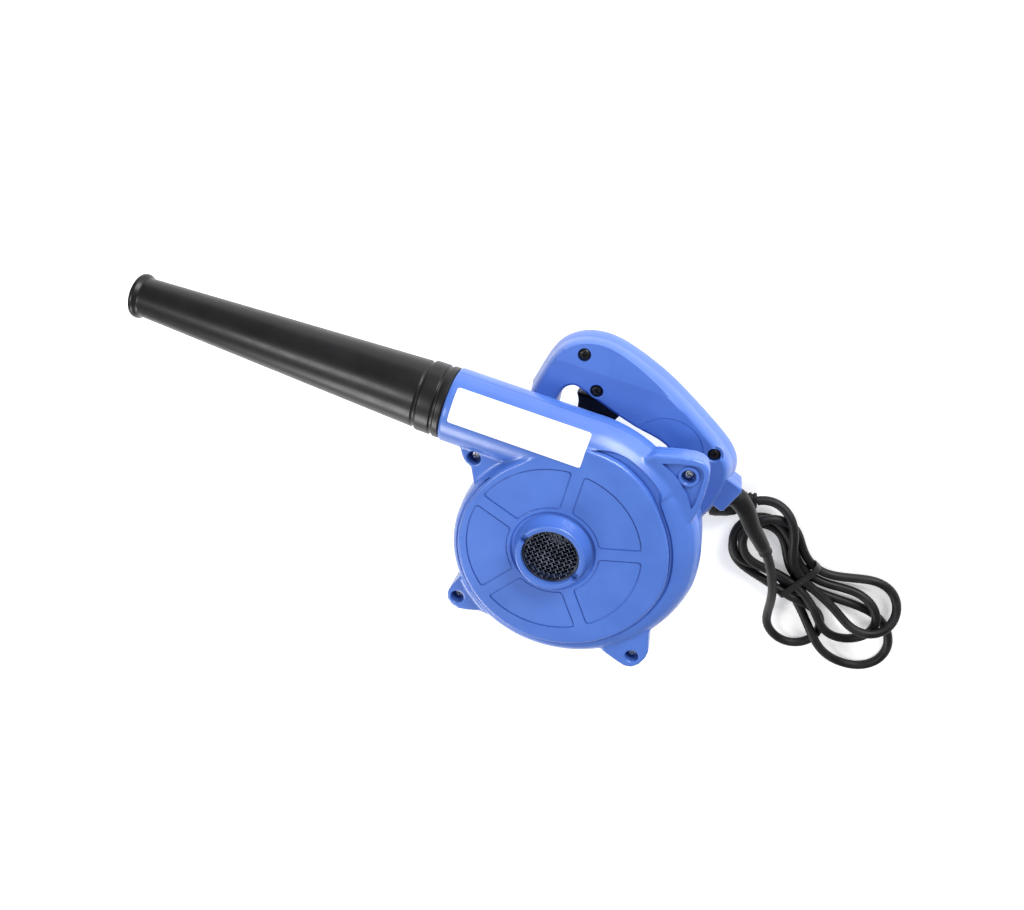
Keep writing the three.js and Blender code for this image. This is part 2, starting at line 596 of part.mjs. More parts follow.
function cordSet() {
  piece('cord_guard', cordGuard(), cordRubber);
  piece('power_cord', sweep(curveThrough(LEAD_ROUTE), CORD_R, 16, 8), cordRubber);
  piece('cord_hank', prism(HANK_OUTLINE, HANK.low, HANK.top), cordRubber);
  piece('plug_lead', sweep(curveThrough(PLUG_LEAD_ROUTE), CORD_R, 3, 8), cordRubber);
  piece('hank_tie', hankTie(), blackPlastic);
  piece('plug_body', plugBody(), cordRubber);
  for (const [name, side] of [['left', -1], ['right', 1]]) {
    piece(`plug_pin_${name}`, placePlug(rod(2, 34.3, 52, 12, 0, side * 7)), brass);
  }
  const inner = [[84.6, 56.4, 64], [CLAMP.x, CLAMP.y, 64], [66, 68, 64], [56.4, 80, 64]];
  piece('inner_lead', sweep(curveThrough(inner), 3, 8, 8), cordRubber);
  const bar = box(-2.6, 2.6, -10, 10, 67.5, 70.5).rotateZ(Math.atan2(GLAND.dy, GLAND.dx));
  const holes = CLAMP_SCREWS.map(([x, y]) => solid(rod(1.9, 60, 75, 12, x, y)));
  piece('cord_clamp', cutBy(solid(bar.translate(CLAMP.x, CLAMP.y, 0)), holes), greyPlastic);
  CLAMP_SCREWS.forEach(([x, y], k) =>
    piece(`clamp_screw_${k + 1}`, screw(x, y, 70.8, 13, 2.4, 1.8, 1.3), zincSteel));
}

// ---- fasteners ----
function fasteners() {
  for (const { name, x, y } of LUGS) {
    piece(`lug_screw_${name}`, screw(x, y, SPLIT_Z + 2.5, 13), zincSteel);
  }
  for (const { name, x, y } of HANDLE_SCREWS) {
    piece(`handle_screw_${name}`, screw(x, y, 73.7, 18, 3.9, 2.6), blackPlastic);
  }
  for (const { name, x } of CAP_SCREWS) {
    const upright = screw(0, 0, 0, 22, 3.9, 2.6).rotateX(Math.PI);
    piece(`cap_screw_${name}`, upright.translate(x, 0, 4.7), zincSteel);
  }
}

// ---- assembly ----
piece('front_cover', frontCover(), bluePlastic);
piece('motor_housing', motorHousing(), bluePlastic);
piece('handle_cover', handleCover(), bluePlastic);
piece('end_cap', endCap(), bluePlastic);
piece('nozzle', nozzle(), blackPlastic);
piece('label', label(), labelFilm);
piece('inlet_grille', grille(), zincSteel);
rotor();
stillMotor();
controls();
cordSet();
fasteners();

export default root;
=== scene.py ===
import math

import bmesh
import bpy
from mathutils import Matrix, Vector


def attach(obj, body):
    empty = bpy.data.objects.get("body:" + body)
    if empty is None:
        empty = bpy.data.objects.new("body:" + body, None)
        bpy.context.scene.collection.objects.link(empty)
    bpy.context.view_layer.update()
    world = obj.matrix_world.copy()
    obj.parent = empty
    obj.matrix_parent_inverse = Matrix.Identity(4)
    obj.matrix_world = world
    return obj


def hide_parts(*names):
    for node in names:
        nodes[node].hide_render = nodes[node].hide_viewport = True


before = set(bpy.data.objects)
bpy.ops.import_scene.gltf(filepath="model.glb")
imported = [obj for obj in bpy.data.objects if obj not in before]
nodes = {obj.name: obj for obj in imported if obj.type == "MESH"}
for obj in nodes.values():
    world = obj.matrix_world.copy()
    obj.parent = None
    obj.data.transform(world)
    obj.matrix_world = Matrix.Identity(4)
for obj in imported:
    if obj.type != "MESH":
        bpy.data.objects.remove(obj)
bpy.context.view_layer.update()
MM = 0.001
TAU = 2 * math.pi

# Heights above the foot and other sizes, in millimetres.
FRONT_Z, SPLIT_Z, WALL_Z, SEAM_Z, HANDLE_BACK_Z = 126, 106, 78, 64, 50
GAP = 0.15            # half the gap between two shells
TUBE_Y, TUBE_Z, TUBE_R = 63, 101.7, 24.3
TUBE_END_X, SPIGOT_R, SPIGOT_END_X = -92, 20.4, -108
BARREL_R = 40
CORD_R = 3.3
LUGS = {"upper_left": (-66, 39), "upper_right": (63.2, 74.6),
        "lower_left": (-51, -64), "lower_right": (72.3, -60.7)}
LUG_TOP, LUG_BOTTOM = 117, 91
HANDLE_SCREWS = {"front": (-21.9, 113.7), "middle": (-7.3, 93.5), "rear": (76.9, 78.5)}
CAP_SCREWS = {"left": -33.2, "right": 33.2}
TRIGGER_PIN = (14, 86)
LOCK_BUTTON = (-27, 102)
GLAND = (99.6, 51)                                    # where the cord leaves the handle
OUTWARD, ACROSS = Vector((0.94, -0.34)), Vector((0.34, 0.94))    # along and across the gland
CLAMP_SCREWS = [Vector((75.5, 59.7)) + ACROSS * side for side in (-7, 7)]
HANDLE_TOP = WALL_Z - 2 * GAP
RIDGE_Y = 105.6                                       # ridge line on the handle's face


# ---- camera and cord ----
def make_camera():
    data = bpy.data.cameras.new("camera")
    data.lens = 32.39
    data.sensor_width = 36
    camera = bpy.data.objects.new("camera", data)
    right = Vector((0.9397, 0.2637, -0.2179)).normalized()
    forward = Vector((-0.0889, -0.4269, -0.8999)).normalized()
    up = right.cross(forward).normalized()
    turn = Matrix((right, up, -forward)).transposed().to_4x4()
    camera.matrix_world = Matrix.Translation((0.00782, 0.29585, 0.63494)) @ turn
    bpy.context.scene.collection.objects.link(camera)
    bpy.context.scene.camera = camera


# Control points of the cord's centre line, from the gland to the plug, in millimetres.
CORD_ROUTE = [
    (100.7, 50.7, 64), (105.1, 49.4, 64), (112.4, 43.8, 63.2), (119.5, 32.5, 60.2),
    (128.5, 23.2, 56.2), (137.4, 14.1, 51.6), (144.3, 3.7, 46), (150.4, -7, 40.6),
    (155.7, -18.1, 34.9), (159.9, -29.2, 28.4), (163.1, -40.3, 21.2), (165.7, -51.5, 14.1),
    (169.2, -63.8, 8.9), (179, -73.3, 6), (192.7, -76.8, 4), (205.6, -69.9, 3.3),
    (209.9, -56.1, 3.3), (204, -42.7, 4), (191.6, -37.2, 7.1), (178.7, -34.9, 11.2),
    (165.3, -32.6, 7.6), (152.5, -30.4, 4.7), (139.1, -28.1, 3.2), (126.7, -21.6, 3.4),
    (121.3, -8, 3.3), (125.9, 5.6, 3.4), (138.3, 12.9, 3.3), (152.8, 10, 3.3), (160.8, -1.4, 3.3),
    (166.9, -13.5, 3.4), (177.6, -22.5, 3.4), (190.7, -26.5, 3.3), (204.3, -27, 3.3),
    (217.8, -26.5, 3.4), (231.4, -26.4, 3.4), (244.7, -30, 3.3), (255.2, -39.2, 3.4),
    (260.7, -51.9, 3.3), (258.3, -66, 3.4), (247.6, -75.5, 3.2), (233.7, -77.4, 3.7),
    (220.9, -73.5, 6.8), (210.1, -65.6, 10.9), (200.5, -56.1, 8.7), (191.7, -46.8, 4.2),
    (181.7, -37.6, 3.1), (171.6, -28.5, 3.5), (158.8, -23.2, 3.1), (145.4, -21.9, 4.7),
    (132.3, -20.6, 8.9), (121.7, -10.9, 10.7), (119.5, 3.3, 8.8), (127, 15.3, 6.7),
    (140.9, 19.8, 5.4), (153.8, 14.6, 7.6), (163.3, 4.6, 8.3), (170.5, -6.5, 4.8),
    (181, -15.4, 3.2), (194.7, -18.2, 3.4), (208.1, -16.9, 3.3), (221.5, -14.7, 5.5),
    (234.4, -18.7, 9.7), (242.3, -31, 10.4), (241.2, -45, 7.4), (230.8, -55, 5.9),
    (216.5, -56.4, 7.6), (205.3, -48.6, 11), (197.3, -37.8, 13.3), (186.8, -29, 12.2),
    (174.5, -23.9, 8.8), (161.3, -20.5, 8.7), (148, -19.2, 10.6), (134.7, -15.5, 12.4),
    (126.2, -3.8, 12.9), (127.2, 10.6, 13.3), (136.9, 21, 12.9), (151.1, 23.2, 10.6),
    (162.6, 16, 6.7), (169.8, 4.8, 3.8), (178.8, -5.6, 3.2), (191.8, -10.9, 3.4),
    (205.5, -8.9, 3.3), (218.2, -4.7, 3.4), (231.7, -1.7, 3.3), (245.2, -6.3, 3.3),
    (252.7, -18.2, 7.2), (250.7, -31, 13.2), (240, -39.9, 17.1), (225.7, -41, 15.5),
    (214.2, -34.4, 11.5), (202.5, -28, 10.2), (189.9, -23, 9.4), (177.5, -17.2, 8.9),
    (167.9, -7.5, 11.6), (162.7, 4.6, 14.9), (159, 17.6, 17), (151.6, 29.3, 14.6),
    (139.1, 34.2, 9.3), (129.9, 31.7, 8.9), (126, 29.5, 9.5),
]


def make_cord():
    curve = bpy.data.curves.new("mains_cord", "CURVE")
    curve.dimensions = "3D"
    curve.bevel_depth = CORD_R * MM
    curve.bevel_resolution = 5
    curve.use_fill_caps = True
    spline = curve.splines.new("NURBS")
    spline.points.add(len(CORD_ROUTE) - 1)
    for point, at in zip(spline.points, CORD_ROUTE):
        point.co = (*(Vector(at) * MM), 1)
    spline.order_u = 4
    spline.use_endpoint_u = True
    spline.resolution_u = 5
    cord = bpy.data.objects.new("mains_cord", curve)
    bpy.context.scene.collection.objects.link(cord)
    return cord


make_camera()
mains_cord = make_cord()


# ---- finishes ----
class Field:
    """A shader value that Python arithmetic can be written on."""

    def __init__(self, finish, socket):
        self.finish, self.socket = finish, socket

    def _math(self, operation, a, b):
        return self.finish.node("ShaderNodeMath", {"operation": operation}, {0: a, 1: b})

    def __add__(self, other):
        return self._math("ADD", self, other)

    def __radd__(self, other):
        return self._math("ADD", other, self)

    def __sub__(self, other):
        return self._math("SUBTRACT", self, other)

    def __rsub__(self, other):
        return self._math("SUBTRACT", other, self)

    def __mul__(self, other):
        return self._math("MULTIPLY", self, other)

    def __rmul__(self, other):
        return self._math("MULTIPLY", other, self)

    def above(self, limit, width):
        """0 below limit, 1 past limit + width, smooth between."""
        return self.finish.node("ShaderNodeMapRange",
                                {"interpolation_type": "SMOOTHSTEP"},
                                {"Value": self, "From Min": limit, "From Max": limit + width})


class Finish:
    """One material, with its Principled shader and the nodes that feed it."""

    def __init__(self, name, roughness, metallic=0.0, coat=0.0, coat_roughness=0.1, specular=0.5):
        self.material = bpy.data.materials.new(name)
        self.material.use_nodes = True
        self.tree = self.material.node_tree
        self.shader = self.tree.nodes["Principled BSDF"]
        self.shader.inputs["Roughness"].default_value = roughness
        self.shader.inputs["Metallic"].default_value = metallic
        self.shader.inputs["Coat Weight"].default_value = coat
        self.shader.inputs["Coat Roughness"].default_value = coat_roughness
        self.shader.inputs["Specular IOR Level"].default_value = specular
        self.coordinates = self.node("ShaderNodeTexCoord", output="Object")

    def node(self, kind, settings=None, inputs=None, output=0):
        """Adds a node with its settings, then the values or links of its sockets."""
        made = self.tree.nodes.new(kind)
        for key, value in (settings or {}).items():
            if key == "stops":
                ramp = made.color_ramp
                while len(ramp.elements) < len(value):
                    ramp.elements.new(0.5)
                for element, (position, colour) in zip(ramp.elements, value):
                    element.position, element.color = position, (*colour, 1)
            else:
                setattr(made, key, value)
        for key, value in (inputs or {}).items():
            if isinstance(value, Field):
                self.tree.links.new(value.socket, made.inputs[key])
            else:
                made.inputs[key].default_value = value
        return Field(self, made.outputs[output])

    def noise(self, scale, detail=2.0, roughness=0.5, over=None):
        return self.node("ShaderNodeTexNoise", {},
                         {"Vector": over or self.coordinates, "Scale": scale, "Detail": detail,
                          "Roughness": roughness})

    def stretched(self, scale):
        """Object coordinates pulled out of shape, for brushed and drawn marks."""
        return self.node("ShaderNodeMapping", {}, {"Vector": self.coordinates, "Scale": scale})

    def mix(self, amount, low, high):
        """Runs from one colour to another as amount goes from 0 to 1."""
        return self.node("ShaderNodeMix", {"data_type": "RGBA"},
                         {0: amount, 6: low, 7: high}, output=2)

    def feed(self, socket, value):
        self.tree.links.new(value.socket, self.shader.inputs[socket])

    def bump(self, height, strength, distance=0.0002):
        self.feed("Normal", self.node("ShaderNodeBump", {}, {
            "Height": height, "Strength": strength, "Distance": distance}))


def rgb(red, green, blue):
    """A colour as seen on a screen, as the linear values a shader takes."""
    linear = [((c / 255 + 0.055) / 1.055) ** 2.4 for c in (red, green, blue)]
    return (*linear, 1)


def moulded(name, low, high, roughness, grain, coat=0.0, specular=0.5):
    """Injection-moulded plastic: slow colour drift, smudges and a fine spark-eroded grain."""
    finish = Finish(name, roughness, coat=coat, specular=specular)
    drift = finish.noise(28, 3).above(0.35, 0.3)
    smudge = finish.noise(90, 4, 0.65)
    spark_grain, sink = finish.noise(2600), finish.noise(55)
    finish.feed("Base Color", finish.mix(drift, low, high))
    finish.feed("Roughness", roughness + (smudge - 0.5) * 0.22)
    finish.bump(spark_grain * 0.35 + sink * 0.65, grain, 0.00018)
    return finish.material


def metal(name, low, high, roughness, along, scratch=0.12):
    """Metal with fine drawn lines and a slight tarnish."""
    finish = Finish(name, roughness, metallic=1.0)
    lines = finish.noise(700, over=finish.stretched(along))
    tarnish = finish.noise(120, 4, 0.6).above(0.4, 0.35)
    finish.feed("Base Color", finish.mix(tarnish * 0.7 + lines * 0.3, low, high))
    finish.feed("Roughness", roughness + lines * 0.14 + tarnish * 0.08)
    finish.bump(lines, scratch, 0.00008)
    return finish.material


def rubber(name, low, high, roughness, grain_scale):
    """Soft rubber or pressed carbon, with a dusty bloom."""
    finish = Finish(name, roughness, specular=0.22)
    bloom = finish.noise(60, 4, 0.6).above(0.38, 0.3)
    finish.feed("Base Color", finish.mix(bloom, low, high))
    finish.feed("Roughness", roughness + bloom * 0.12)
    finish.bump(finish.noise(grain_scale, 3), 0.22, 0.00012)
    return finish.material


def paper_film(name):
    """Matt film with a slight curl of tone and a faint fibre."""
    finish = Finish(name, 0.42, coat=0.25, coat_roughness=0.2)
    cloud = finish.noise(45, 3)
    finish.feed("Base Color", finish.mix(cloud.above(0.3, 0.4), rgb(238, 239, 241),
                                         rgb(250, 250, 250)))
    finish.feed("Roughness", 0.4 + (finish.noise(300) - 0.5) * 0.15)
    finish.bump(finish.noise(1500), 0.08, 0.0001)
    return finish.material


def stacked_sheets(name):
    """Edges of thin steel sheets stacked along the motor axis."""
    finish = Finish(name, 0.42, metallic=1.0)
    bands = finish.node("ShaderNodeTexWave", {"bands_direction": "Z"},
                        {"Vector": finish.coordinates, "Scale": 320.0, "Distortion": 0.4})
    finish.feed("Base Color", finish.mix(bands, rgb(74, 76, 80), rgb(140, 142, 147)))
    finish.feed("Roughness", 0.36 + finish.noise(300) * 0.2)
    finish.bump(bands, 0.3, 0.0002)
    return finish.material


def wound_copper(name):
    """Enamelled wire lying in close turns."""
    finish = Finish(name, 0.3, metallic=1.0, coat=0.5)
    turns = finish.node("ShaderNodeTexWave", {"bands_direction": "Z"},
                        {"Vector": finish.coordinates, "Scale": 420.0, "Distortion": 1.6,
                         "Detail": 2.0})
    finish.feed("Base Color", finish.mix(turns, rgb(120, 58, 26), rgb(205, 122, 66)))
    finish.feed("Roughness", 0.25 + turns * 0.18)
    finish.bump(turns, 0.5, 0.0003)
    return finish.material


FINISHES = {
    "blue_plastic": moulded("cornflower_blue_shell", rgb(66, 103, 184), rgb(72, 110, 192), 0.32,
                            0.1, coat=0.1),
    "black_plastic": moulded("gloss_black_nozzle", rgb(12, 12, 13), rgb(19, 19, 21), 0.36, 0.06,
                             coat=0.04, specular=0.3),
    "grey_plastic": moulded("grey_nylon", rgb(88, 90, 94), rgb(104, 106, 110), 0.5, 0.2),
    "label_film": paper_film("white_label_film"),
    "cord_rubber": rubber("black_cord_rubber", rgb(17, 17, 18), rgb(31, 31, 33), 0.42, 1400),
    "zinc_steel": metal("zinc_plated_steel", rgb(176, 180, 186), rgb(208, 210, 214), 0.26,
                        (1, 1, 6)),
    "bearing_steel": metal("ground_bearing_steel", rgb(160, 164, 170), rgb(196, 199, 204), 0.16,
                           (1, 1, 14), 0.06),
    "laminations": stacked_sheets("motor_laminations"),
    "copper": wound_copper("enamelled_copper"),
    "carbon": rubber("brush_carbon", rgb(24, 24, 27), rgb(44, 44, 48), 0.62, 2200),
    "brass": metal("drawn_brass", rgb(172, 134, 62), rgb(214, 176, 96), 0.24, (9, 1, 1)),
}
WIRE = metal("dark_grille_wire", rgb(58, 62, 74), rgb(104, 110, 124), 0.38, (6, 6, 1))
TIE_BLACK = moulded("hank_tie_nylon", rgb(16, 16, 17), rgb(28, 28, 30), 0.38, 0.3)


# ---- modelling by hand ----
def deselect():
    if bpy.context.object and bpy.context.object.mode != "OBJECT":
        bpy.ops.object.mode_set(mode="OBJECT")
    bpy.ops.object.select_all(action="DESELECT")


def pick(piece):
    deselect()
    piece.select_set(True)
    bpy.context.view_layer.objects.active = piece


def named(piece, name):
    piece.name = piece.data.name = name
    return piece


def spot(at):
    """A place to the nearest thousandth of a millimetre, to find a point again by."""
    return tuple(round(c * 1e6) for c in at)


def raised(name, rings):
    """A closed solid: a filled circle laid on the first ring of points, then extruded and
    moved to each next ring. Rings are in millimetres and all have the same count."""
    deselect()
    count = len(rings[0])
    bpy.ops.mesh.primitive_circle_add(vertices=count, radius=0.01, fill_type="NGON")
    piece = named(bpy.context.object, name)
    for vertex, at in zip(piece.data.vertices, rings[0]):
        vertex.co = Vector(at) * MM
    bpy.ops.object.mode_set(mode="EDIT")
    bpy.ops.mesh.select_all(action="SELECT")
    for before, after in zip(rings, rings[1:]):
        goal = {spot(Vector(a) * MM): Vector(b) * MM for a, b in zip(before, after)}
        bpy.ops.mesh.extrude_region_move()
        shape = bmesh.from_edit_mesh(piece.data)
        for vertex in shape.verts:
            if vertex.select:
                vertex.co = goal[spot(vertex.co)]
        bmesh.update_edit_mesh(piece.data)
    bpy.ops.mesh.select_all(action="SELECT")
    bpy.ops.mesh.normals_make_consistent(inside=False)
    bpy.ops.object.mode_set(mode="OBJECT")
    return piece


def circle(r, z, count=96, x=0.0, y=0.0):
    return [(x + r * math.cos(TAU * k / count), y + r * math.sin(TAU * k / count), z)
            for k in range(count)]


def turned(name, profile, count=96, x=0.0, y=0.0):
    """A solid of revolution about an upright axis, from (radius, height) pairs."""
    return raised(name, [circle(r, z, count, x, y) for r, z in profile])


def rod(r, z0, z1, x=0.0, y=0.0, count=32):
    return turned("rod", [(r, z0), (r, z1)], count, x, y)


def put(piece, matrix):
    """Moves a piece and applies its place to its mesh."""
    pick(piece)
    piece.matrix_world = matrix
    bpy.ops.object.transform_apply(location=True, rotation=True, scale=True)
    return piece


def moved_to(x, y, z=0.0, turn=0.0):
    """The place of a piece moved in millimetres and turned about the upright axis."""
    return Matrix.Translation((x * MM, y * MM, z * MM)) @ Matrix.Rotation(turn, 4, "Z")


def lay_on_tube(piece):
    """Turns a piece made about the upright axis so that its height runs along the tube."""
    return put(piece, moved_to(0, TUBE_Y, TUBE_Z) @ Matrix.Rotation(TAU / 4, 4, "Y"))


def lay_in_gland(piece):
    """Turns a piece made about the upright axis so that its height runs out of the gland."""
    return put(piece, moved_to(*GLAND, SEAM_Z, math.atan2(OUTWARD.y, OUTWARD.x))
               @ Matrix.Rotation(TAU / 4, 4, "Y"))


def spun(piece, degrees):
    """Turns a piece about the motor axis."""
    return put(piece, Matrix.Rotation(math.radians(degrees), 4, "Z"))


def copied(piece, name, matrix):
    """A copy with its own mesh, at another place."""
    twin = piece.copy()
    twin.data = piece.data.copy()
    bpy.context.scene.collection.objects.link(twin)
    return put(named(twin, name), matrix)


def joined(name, parts):
    """Several pieces as one mesh, each left whole."""
    deselect()
    for part in parts:
        part.select_set(True)
    bpy.context.view_layer.objects.active = parts[0]
    bpy.ops.object.join()
    return named(bpy.context.object, name)


def combine(piece, tool, operation):
    """Applies a boolean and throws the tool away."""
    pick(piece)
    boolean = piece.modifiers.new("boolean", "BOOLEAN")
    boolean.operation = operation
    boolean.solver = "MANIFOLD"
    boolean.object = tool
    bpy.ops.object.modifier_apply(modifier="boolean")
    bpy.data.objects.remove(tool)
    return piece


def add(piece, *tools):
    for tool in tools:
        combine(piece, tool, "UNION")
    return piece


def cut(piece, *tools):
    for tool in tools:
        combine(piece, tool, "DIFFERENCE")
    return piece


def prism(name, outline, *heights):
    """An outline of (x, y) points raised straight up."""
    return raised(name, [[(x, y, z) for x, y in outline] for z in heights])


def block(x0, x1, y0, y1, z0, z1):
    return prism("block", [(x0, y0), (x1, y0), (x1, y1), (x0, y1)], z0, z1)


def keep_between(piece, z0, z1):
    """Cuts a piece off flat at two heights."""
    return combine(piece, block(-400, 400, -400, 400, z0, z1), "INTERSECT")


def fuse(piece):
    """Runs the joined shapes into one skin with moulded fillets."""
    pick(piece)
    skin = piece.modifiers.new("skin", "REMESH")
    skin.mode = "VOXEL"
    skin.voxel_size = 1.0 * MM
    bpy.ops.object.modifier_apply(modifier="skin")
    ease = piece.modifiers.new("ease", "SMOOTH")
    ease.factor = 0.5
    ease.iterations = 5
    bpy.ops.object.modifier_apply(modifier="ease")
    return piece


def finish_piece(piece, body, slot, node, material=None, angle=32):
    """Cleans and shades a piece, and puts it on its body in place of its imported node."""
    pick(piece)
    bpy.ops.object.mode_set(mode="EDIT")
    bpy.ops.mesh.select_all(action="SELECT")
    bpy.ops.mesh.remove_doubles(threshold=0.00001)
    bpy.ops.mesh.dissolve_degenerate(threshold=0.00001)
    bpy.ops.object.mode_set(mode="OBJECT")
    bpy.ops.object.shade_smooth_by_angle(angle=math.radians(angle))
    flat = piece.modifiers.new("flat_faces", "WEIGHTED_NORMAL")
    flat.keep_sharp = True
    bpy.ops.object.modifier_apply(modifier="flat_faces")
    piece.data.materials.clear()
    piece.data.materials.append(material or FINISHES[slot])
    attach(piece, body)
    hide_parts(node)
    return piece


# ---- housing outlines ----
def share(value, start, length):
    """How far value has come from start to start + length, from 0 to 1."""
    return max(0.0, min(1.0, (value - start) / length))


def between(table, degrees):
    """A value read off a table of (degrees, value)."""
    for (a, low), (b, high) in zip(table, table[1:]):
        if degrees <= b:
            return low + (high - low) * share(degrees, a, b - a)
    return table[-1][1]


def smooth_path(points, steps):
    """Points along a Catmull-Rom curve."""
    path = []
    for i in range(len(points) - 1):
        p0, p1 = Vector(points[max(i - 1, 0)]), Vector(points[i])
        p2, p3 = Vector(points[i + 1]), Vector(points[min(i + 2, len(points) - 1)])
        for k in range(steps):
            t = k / steps
            path.append(0.5 * (2 * p1 + (p2 - p0) * t + (2 * p0 - 5 * p1 + 4 * p2 - p3) * t * t
                               + (3 * p1 - p0 - 3 * p2 + p3) * t ** 3))
    path.append(Vector(points[-1]))
    return path


def moved_in(points, distance):
    """A counter-clockwise outline moved inwards."""
    count = len(points)
    moved = []
    for i, point in enumerate(points):
        before = (point - points[i - 1]).normalized()
        after = (points[(i + 1) % count] - point).normalized()
        normal = Vector((-before.y - after.y, before.x + after.x)).normalized()
        reach = distance / max(0.6, -before.y * normal.x + before.x * normal.y)
        moved.append(point + normal * reach)
    return moved


# Outer wall of the scroll and edge of its flat disc, against the turn round the motor axis.
WALL_TABLE = [(90, 79), (97, 77), (105, 72), (118, 66.5), (135, 64), (150, 64.8), (180, 67),
              (360, 92), (388, 92.4), (402, 90), (412, 84), (425, 80), (450, 79)]
DISC_TABLE = [(90, 73.5), (125, 63), (137, 62.1), (150, 61.3), (180, 61.5), (360, 73.7),
              (398, 72.3), (415, 73.9), (432, 74.8), (450, 73.5)]


def scroll_ring(part, z, extra=0.0, count=180):
    """One ring of the scroll; part runs from 0 at the outer wall to 1 at the disc edge."""
    points = []
    for k in range(count):
        degrees = 90 + 360 * k / count
        wall, disc = between(WALL_TABLE, degrees), between(DISC_TABLE, degrees)
        r = wall + (disc - wall) * part + extra
        turn = math.radians(degrees)
        points.append((r * math.cos(turn), r * math.sin(turn), z))
    return points


def scroll_body():
    """The snail-shaped drum, from its rounded back to its flat front disc."""
    return raised("scroll", [
        scroll_ring(0, WALL_Z, -7), scroll_ring(0, WALL_Z + 0.6, -4.6),
        scroll_ring(0, WALL_Z + 2.2, -2.2), scroll_ring(0, WALL_Z + 4.8, -0.6),
        scroll_ring(0, WALL_Z + 8),
        scroll_ring(0, 107), scroll_ring(0.06, 111.5), scroll_ring(0.2, 115.6),
        scroll_ring(0.42, 118.8), scroll_ring(0.68, 120.8), scroll_ring(0.9, 121.4),
        scroll_ring(1, 121.5, 0.6), scroll_ring(1, 125.0), scroll_ring(1, 125.7, -0.3),
        scroll_ring(1, FRONT_Z, -1.0)])


def disc_groove():
    """The darker hollow where the disc stands inside the volute's shoulder, wider under the
    tube's round top."""
    outer = [(0.4, 120.6), (1.6, 120.2), (2.6, 121.2), (3.6, 123.5), (4.6, 130)]
    last = 150
    rings = []
    for k in range(last + 1):
        degrees = 146 + 302 * k / last
        width = max(0.02, share(k, 0, 8) * share(last - k, 0, 8))
        width *= 1 + 1.5 * share(degrees, 405, 6)
        disc = between(DISC_TABLE, degrees)
        turn = math.radians(degrees)
        section = [(disc, 130), (disc, 120.2)] + [(disc + e * width, z) for e, z in outer]
        rings.append([(r * math.cos(turn), r * math.sin(turn), z) for r, z in section])
    return raised("groove", rings)


def tube_bulge():
    """The outlet tube's round top, carried on round the scroll to its step."""
    rings = []
    for k in range(25):
        turn = math.radians(94 - 47 * k / 24)
        middle = TUBE_Y + 2.5 * k / 24
        rings.append([((middle + out) * math.cos(turn), (middle + out) * math.sin(turn),
                       TUBE_Z + up)
                      for out, up, _ in circle(TUBE_R - 0.15, 0, 64)])
    return raised("bulge", rings)


# Outlines of the four screw lugs; the upper two fill the corners beside the outlet tube.
WEBS = {
    "lower_left": [(-53, -36), (-53.6, -49), (-57.2, -58), (-58.5, -63.5), (-57, -68.7),
                   (-53, -72), (-47.9, -73.2), (-43, -72.2), (-33.4, -69), (-22, -70), (-20, -50),
                   (-40, -34)],
    "lower_right": [(46, -50), (53, -65.2), (57.5, -66.6), (64, -68.8), (70, -70.4), (75, -69.4),
                    (79, -65), (81.2, -59), (81.6, -53.4), (78.8, -45), (77, -38), (60, -30)],
    "upper_left": [(-34, 56), (-79, 56), (-78.2, 46), (-74.5, 38.6), (-71.4, 34.4), (-66.5, 32.2),
                   (-62, 22), (-50, 20), (-30, 44)],
    "upper_right": [(40, 60), (60, 42), (74.8, 47), (76.4, 56), (76.2, 66), (75.3, 76),
                    (74.2, 81.6), (71.8, 85.2), (68, 87.2), (63, 87.4), (55.5, 86.1), (39.5, 81.7),
                    (34, 77)],
}


def lug(name, z0, z1):
    outline = [Vector(p) for p in WEBS[name]]
    return slab("lug", outline, [(0.7, z0), (0, z0 + 0.7), (0, z1 - 0.9), (0.9, z1)])


def outlet_tube():
    """The tube from inside the scroll to its end, and the spigot that the nozzle turns on."""
    return lay_on_tube(turned("tube", [
        (SPIGOT_R - 0.8, SPIGOT_END_X), (SPIGOT_R, SPIGOT_END_X + 0.8),
        (SPIGOT_R, TUBE_END_X - 0.01), (TUBE_R - 0.7, TUBE_END_X), (TUBE_R, TUBE_END_X + 0.7),
        (TUBE_R, 4)]))


def scroll_skin():
    """The whole outside of the scroll with its tube and bulge, both halves in one."""
    return add(scroll_body(), outlet_tube(), tube_bulge())


def air_chamber():
    """The hollow inside the scroll and its tube."""
    chamber = raised("chamber", [
        scroll_ring(0.35, WALL_Z + 2.5, -2.5, 90), scroll_ring(0, 84, -4.5, 90),
        scroll_ring(0, 106, -4.5, 90), scroll_ring(0.3, 113, -4.5, 90),
        scroll_ring(1, 117, -4.5, 90), scroll_ring(1, 122.5, -5.5, 90)])
    return add(chamber, lay_on_tube(rod(21.8, -89.5, 0, count=64)),
               lay_on_tube(rod(18, -113, -80, count=64)))


def screw_well(x, y, seat, top, r):
    """The recess of one screw, with a small rounded mouth."""
    return turned("well", [(2.3, seat - 12), (2.3, seat), (r, seat), (r, top - 0.6),
                           (r + 0.35, top - 0.15), (r + 0.9, top), (r + 0.9, top + 20)], 40, x, y)


def rounded(start, corner, end, steps):
    """Points round a corner, at the given shares of the way from start to end."""
    return [start.lerp(corner, t).lerp(corner.lerp(end, t), t) for t in steps]


